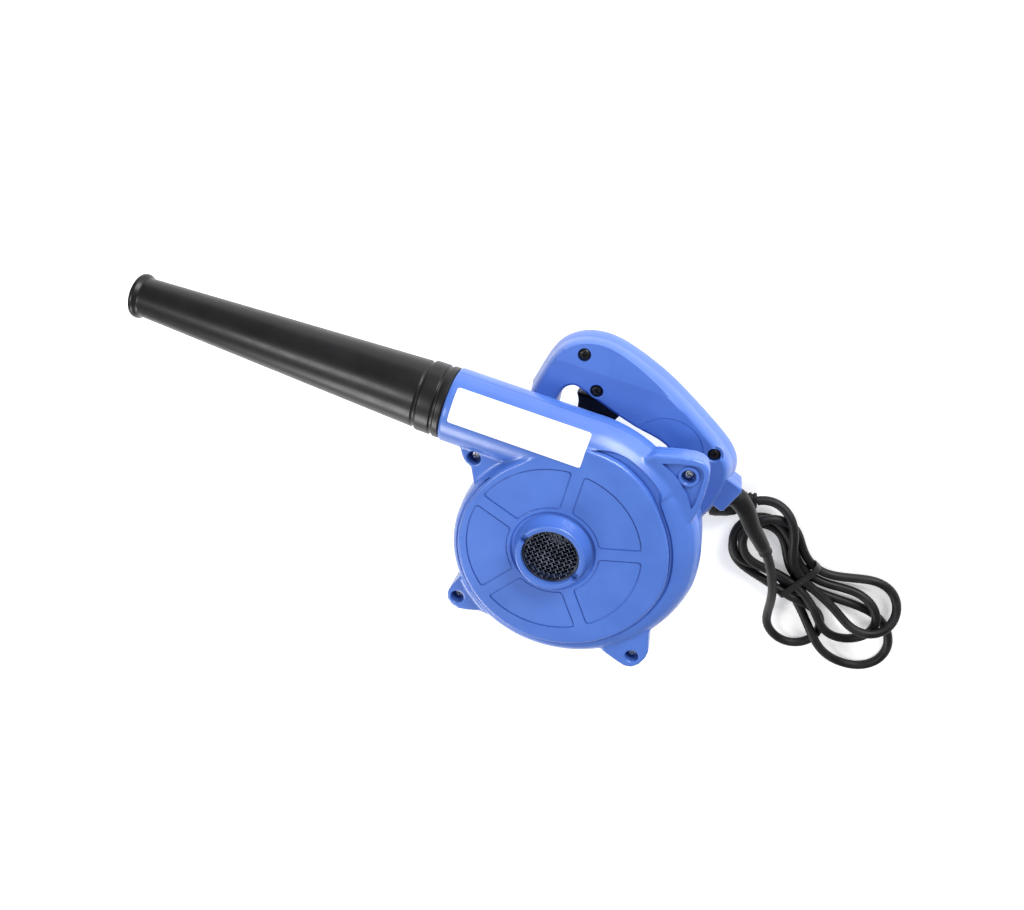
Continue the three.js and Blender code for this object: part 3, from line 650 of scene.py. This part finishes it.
def panel_block(index, z0, z1, grow=0.0):
    """A block over one panel: a ring sector with straight sides along its two ribs."""
    middle = math.radians(54 + 72 * index)
    r_in, r_out, rib, corner = 30.5 - grow, 56 + grow, 4.6 - grow, 2.4

    def side(r):
        return math.radians(36) - math.asin(rib / r)

    def point(r, a):
        return Vector((r * math.cos(middle + a), r * math.sin(middle + a)))

    path = []
    for r, other, way in ((r_out, r_in, -1), (r_in, r_out, 1)):
        reach = side(r) - corner / r
        path += [point(r, way * reach * (1 - k / 7)) for k in range(15)]
        here, there = point(r, -way * side(r)), point(other, -way * side(other))
        along = (there - here).normalized() * corner
        path += rounded(path[-1], here, here + along, (0.33, 0.67, 1))
        path += rounded(there - along, there, point(other, -way * (side(other) - corner / other)),
                        (0, 0.33, 0.67))
    return prism("panel", path, z0, z1)


# Where the cover is sunk round the upper right screw.
SUNK_CORNER = [(45, 77.8), (58, 71), (66, 63.4), (71.6, 55.5), (72.6, 60), (72.4, 68), (71.6, 78.6),
               (70, 81.9), (67, 83.7), (62, 83.2), (54, 81.2)]


def make_front_cover():
    cover = scroll_skin()
    add(cover, *[lug(name, SPLIT_Z - 6, LUG_TOP) for name in LUGS])
    fuse(cover)
    cut(cover, turned("moat", [(26.6, 124.7), (27.4, 125.4), (28, 126.2), (28, 140)], 120))
    add(cover, turned("collar", [
        (25.6, FRONT_Z - 4), (25.4, FRONT_Z - 0.8), (24.6, FRONT_Z + 1.2), (23.3, FRONT_Z + 4),
        (22.5, FRONT_Z + 6.6), (22.2, FRONT_Z + 7.6), (22.4, 134.2), (22.3, 135.2),
        (21.8, 135.8), (21.2, 136), (19.6, 136), (18.9, 135.6)], 120))
    cut(cover, disc_groove(), air_chamber())
    cut(cover, turned("bore", [(18.5, 110), (18.5, 135.2), (19.1, 136.2), (19.1, 140)], 120))
    for degrees in (160, 340):
        cut(cover, spun(block(15, 24, -3, 3, 131, 140), degrees))
    for index in range(5):
        # Each panel lies a little low inside a sunk line.
        cut(cover, panel_block(index, 125.1, 130, 0.9))
        add(cover, panel_block(index, 120, 125.6))
    # The outlet tube's round runs over the disc's edge under the label.
    above_tube = block(-95, -0.6, 62, 100, TUBE_Z, 135)
    cut(above_tube, lay_on_tube(rod(TUBE_R - 0.02, -100, 10, count=96)))
    cut(cover, above_tube, prism("sunk", SUNK_CORNER, 114.6, 126))
    add(cover, turned("boss", [(6.6, 112), (6.6, 115.4), (6.1, 116)], 48, *LUGS["upper_right"]))
    for name, (x, y) in LUGS.items():
        cut(cover, screw_well(x, y, SPLIT_Z + 2.2, 116 if name == "upper_right" else LUG_TOP, 4.5))
    keep_between(cover, SPLIT_Z + GAP, 200)
    return finish_piece(cover, "body", "blue_plastic", "front_cover")


# ---- handle ----
HANDLE_LINE = ([Vector(p) for p in ((-36, -10), (0, -14), (36, -10), (64, 6))]
               + smooth_path([(84, 28), (91.5, 50), (88.7, 74.8), (64.1, 94.5), (27, 114.4),
                              (-12, 124.6), (-38, 113), (-49, 79)], 8) + [Vector((-45, 30))])
FINGER_LINE = (smooth_path([(-27, 35.5), (-15, 41.5), (0, 44), (15, 41.5), (30, 32.5), (40, 20),
                            (54, 26), (63, 42), (60, 60), (46, 73.3), (24, 78.3), (12, 81.5)], 4)
               + smooth_path([(-16.5, 90.5), (-22, 91.8), (-27.5, 88), (-30, 79)], 4))


def slab(name, outline, levels, lean=0.0):
    """An outline raised through (inset, height) levels, its +X end leaning out toward the foot."""
    return raised(name, [[(p.x + lean * share(p.x, 50, 40) * share(WALL_Z - z, 0, 26), p.y, z)
                          for p in moved_in(outline, inset)] for inset, z in levels])


def gland_block(z0, z1, foot, head):
    """The block round the gland, its far edges rounded by foot below and by head above."""
    def ring(half, front, z):
        return [(*(Vector(GLAND) + OUTWARD * a + ACROSS * c), z)
                for a, c in ((-15, -half), (front - 1.5, -half), (front, -half + 1.5),
                             (front, half - 1.5), (front - 1.5, half), (-15, half))]
    return raised("gland", [ring(10.5 - foot, -foot, z0), ring(10.5, 0, z0 + foot + 0.01),
                            ring(10.5, 0, z1 - head - 0.01), ring(10.5 - head, -head, z1)])


def gland_bore():
    return lay_in_gland(turned("bore", [(5.9, -40), (5.9, -11), (7.9, -11), (7.9, -6.4),
                                        (5.9, -6.4), (5.9, 0.5), (6.3, 5)], 40))


def handle_loop(outer_levels, finger_levels):
    """One half of the closed handle, from the levels of its outside and of its finger gap."""
    loop = slab("loop", HANDLE_LINE, outer_levels, lean=3.2)
    return cut(loop, slab("gap", FINGER_LINE, finger_levels))


def handle_hollow(z0, z1):
    """The inside of the handle, a wall's thickness from its outline."""
    hollow = slab("hollow", HANDLE_LINE, [(2.5, z0), (2.5, z1)])
    return cut(hollow, slab("gap", FINGER_LINE, [(-2.5, z0 - 1), (-2.5, z1 + 1)]),
               rod(BARREL_R + 1, z0 - 2, z1 + 2, count=64))


def trigger_slot():
    """The room that the trigger swings in."""
    return block(-20.6, 19.2, 70, 92.6, 56.8, 71.2)


def make_handle_cover():
    seam = SEAM_Z + GAP
    cover = handle_loop(
        [(0, seam), (0.3, 69), (0.8, 72.4), (1.7, 74.8), (3, 76.7), (4.6, HANDLE_TOP)],
        [(0, SEAM_Z - 5), (0, 74.2), (-0.5, 75.8), (-1.4, 77.1), (-2.6, HANDLE_TOP + 0.01),
         (-2.6, 90)])
    add(cover, gland_block(seam, 75, 0, 0.8))
    cut(cover, handle_hollow(SEAM_Z - 3, 73.2), trigger_slot(), rod(BARREL_R + 1, 40, 90, count=96))
    for name, (x, y) in HANDLE_SCREWS.items():
        r, foot = (4.9, 7.7) if name == "middle" else (6, 0.3)
        add(cover, rod(r, SEAM_Z + foot, 76.5, x, y))
    add(cover, rod(3.2, 71.1, 76, *TRIGGER_PIN))
    # The face falls away above the ridge line along the upper edge.
    slope = moved_to(0, RIDGE_Y, HANDLE_TOP - 0.05) @ Matrix.Rotation(math.radians(-9), 4, "X")
    cut(cover, put(block(-120, 160, 0, 60, 0, 20), slope))
    # A shallow round step marks the switch chamber.
    step = rod(24.6, 77.35, 90, 47.5, 68.5, 96)
    cut(cover, cut(step, rod(23.9, 70, 95, 47.5, 68.5, 96)))
    cut(cover, rod(1.8, 60, 74, *TRIGGER_PIN), gland_bore())
    for x, y in HANDLE_SCREWS.values():
        cut(cover, screw_well(x, y, 73.4, HANDLE_TOP, 4.3))
    for edge in cover.data.edges:
        ends = [cover.data.vertices[i].co / MM for i in edge.vertices]
        if all(abs(e.y - RIDGE_Y) < 0.6 and e.z > HANDLE_TOP - 0.3 for e in ends):
            edge.use_edge_sharp = True
    return finish_piece(cover, "body", "blue_plastic", "handle_cover")


def vent():
    """An air slot through the barrel's wall, a little taller at its two ends."""
    outline = [(-6, 67.8), (6, 67.8), (7, 67), (7, 72.5), (6, 71.7), (-6, 71.7), (-7, 72.5),
               (-7, 67)]
    return raised("vent", [[(x, y, z) for y, z in outline] for x in (30, 46)])


def make_motor_housing():
    housing = scroll_skin()
    for name, (x, y) in LUGS.items():
        add(housing, lug(name, 101 if name == "upper_right" else 96, SPLIT_Z + 6),
            rod(6.6, LUG_BOTTOM, SPLIT_Z, x, y))
    add(housing, turned("barrel", [(39.2, 12.3), (BARREL_R, 13.1), (BARREL_R, 70), (40.4, 74),
                                   (42, 77), (45, 78.9), (45, 84)], 120))
    fuse(housing)
    keep_between(housing, 12.3, SPLIT_Z - GAP)
    seam = SEAM_Z - GAP
    loop = handle_loop(
        [(1.6, HANDLE_BACK_Z), (0, 50.7), (-1.1, 52.4), (-1.6, 55), (-0.9, 60), (0, seam)],
        [(-2.0, 45), (-2.0, 50), (-0.9, 50.7), (0, 52.6), (0, SEAM_Z + 5)])
    add(loop, gland_block(53, seam, 0.8, 0))
    cut(loop, rod(BARREL_R - 1, 40, 80, count=96))
    cut(loop, handle_hollow(HANDLE_BACK_Z + 2.5, SEAM_Z + 2), trigger_slot())
    add(housing, loop)
    cut(housing, air_chamber(), rod(37.5, 5, WALL_Z - 2, count=96))
    for k in range(8):
        cut(housing, spun(vent(), 22.5 + 45 * k))
    add(housing, rod(14.5, 70, WALL_Z + 2.5, count=64))
    for x in CAP_SCREWS.values():
        add(housing, rod(4.6, 16, 62, x, 0))
        cut(housing, rod(2.2, 10, 40, x, 0))
    for name, (x, y) in HANDLE_SCREWS.items():
        add(housing, rod(4 if name == "middle" else 4.6, 51, seam, x, y))
        cut(housing, rod(2.2, 53, 80, x, y))
    for x, y in CLAMP_SCREWS:
        add(housing, rod(3, 51, 62.5, x, y))
        cut(housing, rod(1.6, 53, 70, x, y))
    add(housing, rod(3.2, 51, 56.9, *TRIGGER_PIN))
    cut(housing, rod(11.3, 60, WALL_Z + 0.4, count=64), rod(6, 60, 90),
        rod(1.8, 52.6, 60, *TRIGGER_PIN), rod(4.3, 40, 60, *LOCK_BUTTON), gland_bore())
    for x, y in LUGS.values():
        cut(housing, rod(2.2, LUG_BOTTOM + 3, 110, x, y))
    return finish_piece(housing, "body", "blue_plastic", "motor_housing")


def make_end_cap():
    cap = turned("cap", [(35.6, 0), (37.4, 0.4), (39.2, 1.8), (BARREL_R, 4), (BARREL_R, 11.2),
                         (39.5, 11.9), (37.2, 12), (37.2, 15.5)], 120)
    cut(cap, rod(34.5, 3, 20, count=96))
    add(cap, rod(11.5, 2, 15.5, count=64))
    slot = [(x + 1.9 * math.cos(math.radians(start + 22.5 * i)),
             1.9 * math.sin(math.radians(start + 22.5 * i)))
            for x, start in ((29.2, -90), (18.8, 90)) for i in range(9)]
    for k in range(12):
        if k % 6:
            cut(cap, spun(prism("slot", slot, -2, 8), 30 * k))
    for x in CAP_SCREWS.values():
        add(cap, rod(5.4, 2, 9, x, 0), rod(3.8, 8, 15.5, x, 0))
        cut(cap, rod(4.3, -1, 5, x, 0), rod(2.3, -2, 20, x, 0))
    cut(cap, rod(8.3, 4, 20, count=64), rod(11.6, 12, 20, count=64))
    return finish_piece(cap, "body", "blue_plastic", "end_cap")


# ---- nozzle, label and grille ----
def make_nozzle():
    """Bead at the tip, long cone, and a collar with two grooves."""
    tip, wide, steps = (13.25, -305), (22.25, -112.6), 17
    cone = [tuple(a + (b - a) * k / steps for a, b in zip(tip, wide)) for k in range(steps + 1)]
    nozzle = lay_on_tube(turned("nozzle_tube", [
        (10.2, -312), (11.6, -312), (13.6, -311.6), (14.7, -310.9), (15, -309.9), (15, -308.9),
        (14.6, -307.9), (13.8, -307), (13.3, -306), *cone, (22.3, -111.8), (21.8, -111.2),
        (21.5, -110.6), (21.5, -109.4), (22, -108.9), (22.9, -108.6), (23.2, -108.1),
        (23.3, -107.4), (23.4, -99.8), (23.2, -99.2), (22.5, -98.7), (22.4, -98.4),
        (22.4, -97.4), (22.6, -97), (23.3, -96.6), (23.6, -96), (23.6, -93.1), (23.2, -92.4),
        (22.6, -92.3)], 120))
    cut(nozzle, lay_on_tube(turned("bore", [
        (11.2, -330), (11.2, -312.2), (10.6, -311.4), (10.4, -310), (17.4, -112), (17.4, -108.7),
        (20.7, -108.6), (20.7, -80)])))
    return finish_piece(nozzle, "nozzle", "black_plastic", "nozzle", angle=28)


def make_label():
    """A thin film wrapped round the tube, with rounded corners."""
    half_length, half_width, corner = 43.2, 11.4, 1.4
    middle_x, middle_turn, r = -43.8, math.radians(22.8), TUBE_R + 0.22
    deselect()
    bpy.ops.mesh.primitive_grid_add(x_subdivisions=60, y_subdivisions=24, size=2)
    film = named(bpy.context.object, "label_on_tube")
    for vertex in film.data.vertices:
        x, across = vertex.co.x * half_length, vertex.co.y * half_width
        past_x = abs(x) - (half_length - corner)
        past_y = abs(across) - (half_width - corner)
        if past_x > 0 and past_y > 0:
            pull = max(past_x, past_y) / max(1e-6, math.hypot(past_x, past_y))
            x = math.copysign(half_length - corner + past_x * pull, x)
            across = math.copysign(half_width - corner + past_y * pull, across)
        turn = middle_turn + across / TUBE_R
        vertex.co = Vector((middle_x + x, TUBE_Y + r * math.sin(turn),
                            TUBE_Z + r * math.cos(turn))) * MM
    pick(film)
    wall = film.modifiers.new("wall", "SOLIDIFY")
    wall.thickness = 0.25 * MM
    wall.offset = 1
    bpy.ops.object.modifier_apply(modifier="wall")
    return finish_piece(film, "body", "label_film", "label")


def make_grille():
    """Woven wire held in a thin rim."""
    pitch, wire_r, weave, middle_z = 2.5, 0.42, 0.46, 131.5
    parts = []
    for way in (0, 1):
        for k in range(-6, 7):
            offset = k * pitch
            reach = math.sqrt(17.6 ** 2 - offset ** 2)
            steps = max(8, int(reach * 2 / pitch * 4))
            rings = []
            for i in range(steps + 1):
                x = -reach + 2 * reach * i / steps
                z = middle_z + weave * math.cos(math.pi * x / pitch) * (1 if (k + way) % 2 else -1)
                rings.append([(x, offset + a, z + b) for a, b, _ in circle(wire_r, 0, 6)])
            parts.append(spun(raised("strand", rings), 45 + 90 * way))
    parts.append(cut(rod(18.3, 130.4, 132.6, count=96), rod(16.9, 129, 134, count=96)))
    return finish_piece(joined("woven_grille", parts), "body", "zinc_steel", "inlet_grille", WIRE,
                        angle=60)


# ---- screws ----
def cross_screw(seat, length, head_r, head_h):
    """A pan-head screw with a cross recess, point down."""
    top, shank_r, core_r, pitch = seat + head_h, 1.9, 1.9 * 0.8, 1.4
    screw = turned("screw", [
        (head_r - 0.15, seat), (head_r, seat + 0.2), (head_r, seat + head_h * 0.35),
        (head_r * 0.93, seat + head_h * 0.65), (head_r * 0.76, seat + head_h * 0.88),
        (head_r * 0.5, top)], 40)
    shank = [(0.3, seat - length), (core_r, seat - length + 1.6)]
    for k in range(int((length - 3) / pitch)):
        z = seat - length + 2 + k * pitch
        shank += [(core_r, z), (shank_r, z + 0.35), (shank_r, z + 0.55), (core_r, z + 0.9)]
    shank += [(core_r, seat - 0.6), (core_r, seat + 0.5)]
    add(screw, turned("shank", shank, 20))
    for degrees in (0, 90):
        arm = raised("arm", [[(-x, -y, z), (x, -y, z), (x, y, z), (-x, y, z)]
                             for x, y, z in ((0.9, 0.3, top - 1.5), (2.2, 0.48, top + 0.4))])
        cut(screw, spun(arm, degrees))
    return screw


def set_screws(screw, kind, node, slot, places):
    """Copies a screw to each named place and throws the first one away."""
    for name, matrix in places.items():
        twin = copied(screw, f"{kind}_{name}", matrix)
        finish_piece(twin, "body", slot, f"{node}_{name}")
    bpy.data.objects.remove(screw)


def make_screws():
    set_screws(cross_screw(SPLIT_Z + 2.5, 13, 3.5, 2.8), "cross_screw", "lug_screw", "zinc_steel",
               {name: moved_to(*xy, turn=0.5 + 0.7 * k)
                for k, (name, xy) in enumerate(LUGS.items())})
    set_screws(cross_screw(73.7, 18, 3.9, 2.6), "black_screw", "handle_screw", "black_plastic",
               {name: moved_to(*xy, turn=0.3 + 0.9 * k)
                for k, (name, xy) in enumerate(HANDLE_SCREWS.items())})
    set_screws(cross_screw(0, 22, 3.9, 2.6), "foot_screw", "cap_screw", "zinc_steel",
               {name: moved_to(x, 0, 4.7) @ Matrix.Rotation(math.pi, 4, "X")
                for name, x in CAP_SCREWS.items()})


# ---- controls ----
def make_trigger():
    line = ([Vector((-16, 86.3))]
            + smooth_path([(-19.3, 86), (-16.8, 81), (-15.6, 76), (-11, 73.4), (0, 73),
                           (9.5, 74.8)], 6)
            + [Vector(p) for p in ((12, 80), (17.6, 83.4), (18, 87), (16.2, 89.4), (12.4, 89.6),
                                   (10.4, 86.3))])
    trigger = slab("trigger_lever", line, [(1.1, 57.4), (0.4, 57.8), (0, 58.8), (0, 69.2),
                                           (0.4, 70.2), (1.1, 70.6)])
    cut(trigger, rod(1.8, 50, 80, *TRIGGER_PIN))
    return finish_piece(trigger, "trigger", "black_plastic", "trigger")


def make_lock_button():
    """A round button with three grip grooves across its face."""
    button = turned("lock_button_cap", [(2.4, 47.1), (3.2, 47), (3.7, 47.3), (4, 48), (4, 58)], 40,
                    *LOCK_BUTTON)
    x, y = LOCK_BUTTON
    for groove in (y - 1.5, y, y + 1.5):
        cut(button, block(x - 4, x + 4, groove - 0.3, groove + 0.3, 46, 47.35))
    return finish_piece(button, "lock_button", "black_plastic", "lock_button")


# ---- cord set ----
BOOT_ROUTE = [(100.6, 50.6, 64), (104.6, 49.2, 63.9), (112, 43, 62.8), (120.8, 31.6, 59.6),
              (130.6, 21, 55), (138.6, 12, 50.6)]


def rings_along(path, radii, count=40):
    """Rings of the given radii square to a path."""
    rings = []
    for i, (point, r) in enumerate(zip(path, radii)):
        along = (path[min(i + 1, len(path) - 1)] - path[max(i - 1, 0)]).normalized()
        side = along.cross(Vector((0, 0, 1))).normalized()
        over = side.cross(along).normalized()
        rings.append([tuple(point + side * a + over * b) for a, b, _ in circle(r, 0, count)])
    return rings


def make_boot():
    """Smooth tapered strain relief with a rolled lip, its flange held in the gland."""
    path = smooth_path(BOOT_ROUTE, 14)
    radii = []
    for i in range(len(path)):
        t = i / (len(path) - 1)
        groove = 0.3 if 0.88 < t < 0.93 else 0
        lip = 0.7 if t > 0.985 else 0
        radii.append(7.6 - 3 * t ** 0.85 - groove - lip)
    boot = raised("strain_relief", rings_along(path, radii))
    add(boot, lay_in_gland(turned("neck", [(5.6, -14.5), (5.6, -10.7), (7.5, -10.7), (7.5, -6.8),
                                           (5.6, -6.8), (5.6, 1.6)], 40)))
    return finish_piece(boot, "body", "cord_rubber", "cord_guard", angle=45)


def make_plug():
    """A straight two-pin plug lying where the lead ends."""
    where = moved_to(126, 29.5, 9.4, math.radians(200)) @ Matrix.Rotation(TAU / 4, 4, "Y")
    profile = [(3.7, 0), (4.5, 0.5), (4.5, 2.2), (3.9, 2.6), (3.9, 3.6), (4.7, 4), (4.7, 5.4),
               (4.2, 5.8), (4.2, 6.8), (5, 7.2), (5.4, 9.2), (7.0, 12.2), (8.2, 16), (8.9, 21),
               (9, 30), (8.7, 33.2), (8, 34)]
    grip = raised("plug_grip", [[(x, y * 1.35, z) for x, y, z in circle(r, h, 56)]
                                for r, h in profile])
    for side in (-8.3, 8.3):
        for z in (18, 21, 24, 27):
            cut(grip, block(side - 0.9, side + 0.9, -6, 6, z, z + 1.3))
    made = [finish_piece(put(grip, where), "body", "cord_rubber", "plug_body", angle=40)]
    for name, y in (("left", -7), ("right", 7)):
        pin = turned(f"mains_pin_{name}", [(2, 34.3), (2, 44), (2, 50.6), (1.6, 51.6), (0.9, 52)],
                     32, 0, y)
        made.append(finish_piece(put(pin, where), "body", "brass", f"plug_pin_{name}"))
    return made


def strap_outline(half, low, high, r):
    """A rounded rectangle, as (y, z) points."""
    return [(y + r * math.cos(math.radians(start + 11.25 * k)),
             z + r * math.sin(math.radians(start + 11.25 * k)))
            for y, z, start in ((half - r, low + r, -90), (half - r, high - r, 0),
                                (-half + r, high - r, 90), (-half + r, low + r, 180))
            for k in range(9)]


def make_hank_tie():
    """A flat strap drawn round the waist of the hank, with its two ends twisted together."""
    strap = raised("hank_strap", [[(x, y, z) for y, z in strap_outline(19.2, 0.15, 14.4, 6.0)]
                                  for x in (-2.4, -2.1, 2.1, 2.4)])
    cut(strap, raised("hole", [[(x, y, z) for y, z in strap_outline(18.1, 1.1, 13.4, 5.2)]
                               for x in (-5, 5)]))
    add(strap, raised("tail", [[(x + 0.3 * math.sin(k), -2 + 0.55 * k,
                                 13.6 + z + 0.25 * math.sin(k * 0.9))
                                for x, z in ((-1.4, 0), (1.4, 0), (1.4, 1.1), (-1.4, 1.1))]
                               for k in range(22)]))
    put(strap, moved_to(177.2, -20.1, 0, math.radians(-27.4)))
    return finish_piece(strap, "body", "black_plastic", "hank_tie", TIE_BLACK)


# ---- assembly ----
named(make_front_cover(), "front_cover_shell")
named(make_motor_housing(), "motor_housing_shell")
named(make_handle_cover(), "handle_cover_shell")
named(make_end_cap(), "end_cap_shell")
make_nozzle()
make_label()
make_grille()
make_screws()
make_trigger()
make_lock_button()
boot = make_boot()
plug_parts = make_plug()
strap = make_hank_tie()

mains_cord.data.materials.append(FINISHES["cord_rubber"])
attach(mains_cord, "body")
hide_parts("power_cord", "cord_hank", "plug_lead")

# Pieces kept as they are packed take the finish listed for them in this table.
KEPT = {
    "black_plastic": ["impeller", "switch_body"],
    "grey_plastic": ["cooling_fan", "switch_plunger", "cord_clamp"],
    "cord_rubber": ["inner_lead"],
    "zinc_steel": ["impeller_washer", "impeller_nut", "trigger_pin", "brush_spring_left",
                   "brush_spring_right", "clamp_screw_1", "clamp_screw_2"],
    "bearing_steel": ["armature_shaft", "front_bearing", "rear_bearing"],
    "laminations": ["armature_core", "stator_core"],
    "copper": ["winding_rear", "winding_front", "commutator", "field_coil_upper",
               "field_coil_lower"],
    "carbon": ["carbon_brush_left", "carbon_brush_right"],
    "brass": ["brush_holder_left", "brush_holder_right", "capacitor"],
}
for slot, names in KEPT.items():
    for name in names:
        node = nodes[name]
        if not node.material_slots:
            raise SystemExit(f"{name} has no material slot")
        node.material_slots[0].material = FINISHES[slot]


# ---- floor and light ----
def make_studio():
    deselect()
    bpy.ops.mesh.primitive_plane_add(size=12)
    floor = named(bpy.context.object, "studio_floor")
    floor.data.transform(Matrix.Translation((0, 0, -0.0002)))
    paper = Finish("studio_paper", 0.85, specular=0.1)
    paper.feed("Base Color", paper.mix(paper.noise(3), (0.93, 0.93, 0.93, 1),
                                       (0.95, 0.95, 0.95, 1)))
    paper.shader.inputs["Emission Color"].default_value = (1, 1, 1, 1)
    paper.shader.inputs["Emission Strength"].default_value = 0.3
    floor.data.materials.append(paper.material)
    world = bpy.data.worlds.new("studio_world")
    world.use_nodes = True
    sky = world.node_tree.nodes["Background"]
    sky.inputs["Color"].default_value = (1, 1, 1, 1)
    sky.inputs["Strength"].default_value = 0.4
    bpy.context.scene.world = world
    for name, stand, size, power in (
            ("softbox_top", (0.35, 1.2, 0.6), 0.7, 22),
            ("softbox_front", (-0.4, -1.0, 0.65), 0.5, 9),
            ("strip_over_nozzle", (-0.58, -0.07, 1.1), 0.3, 5)):
        light = bpy.data.lights.new(name, "AREA")
        light.energy = power
        light.size = size
        lamp = bpy.data.objects.new(name, light)
        lamp.location = stand
        aim = Vector((0, 0.02, 0.08)) - Vector(stand)
        lamp.rotation_euler = aim.to_track_quat("-Z", "Y").to_euler()
        bpy.context.scene.collection.objects.link(lamp)
    bpy.context.scene.view_settings.view_transform = "Standard"


make_studio()
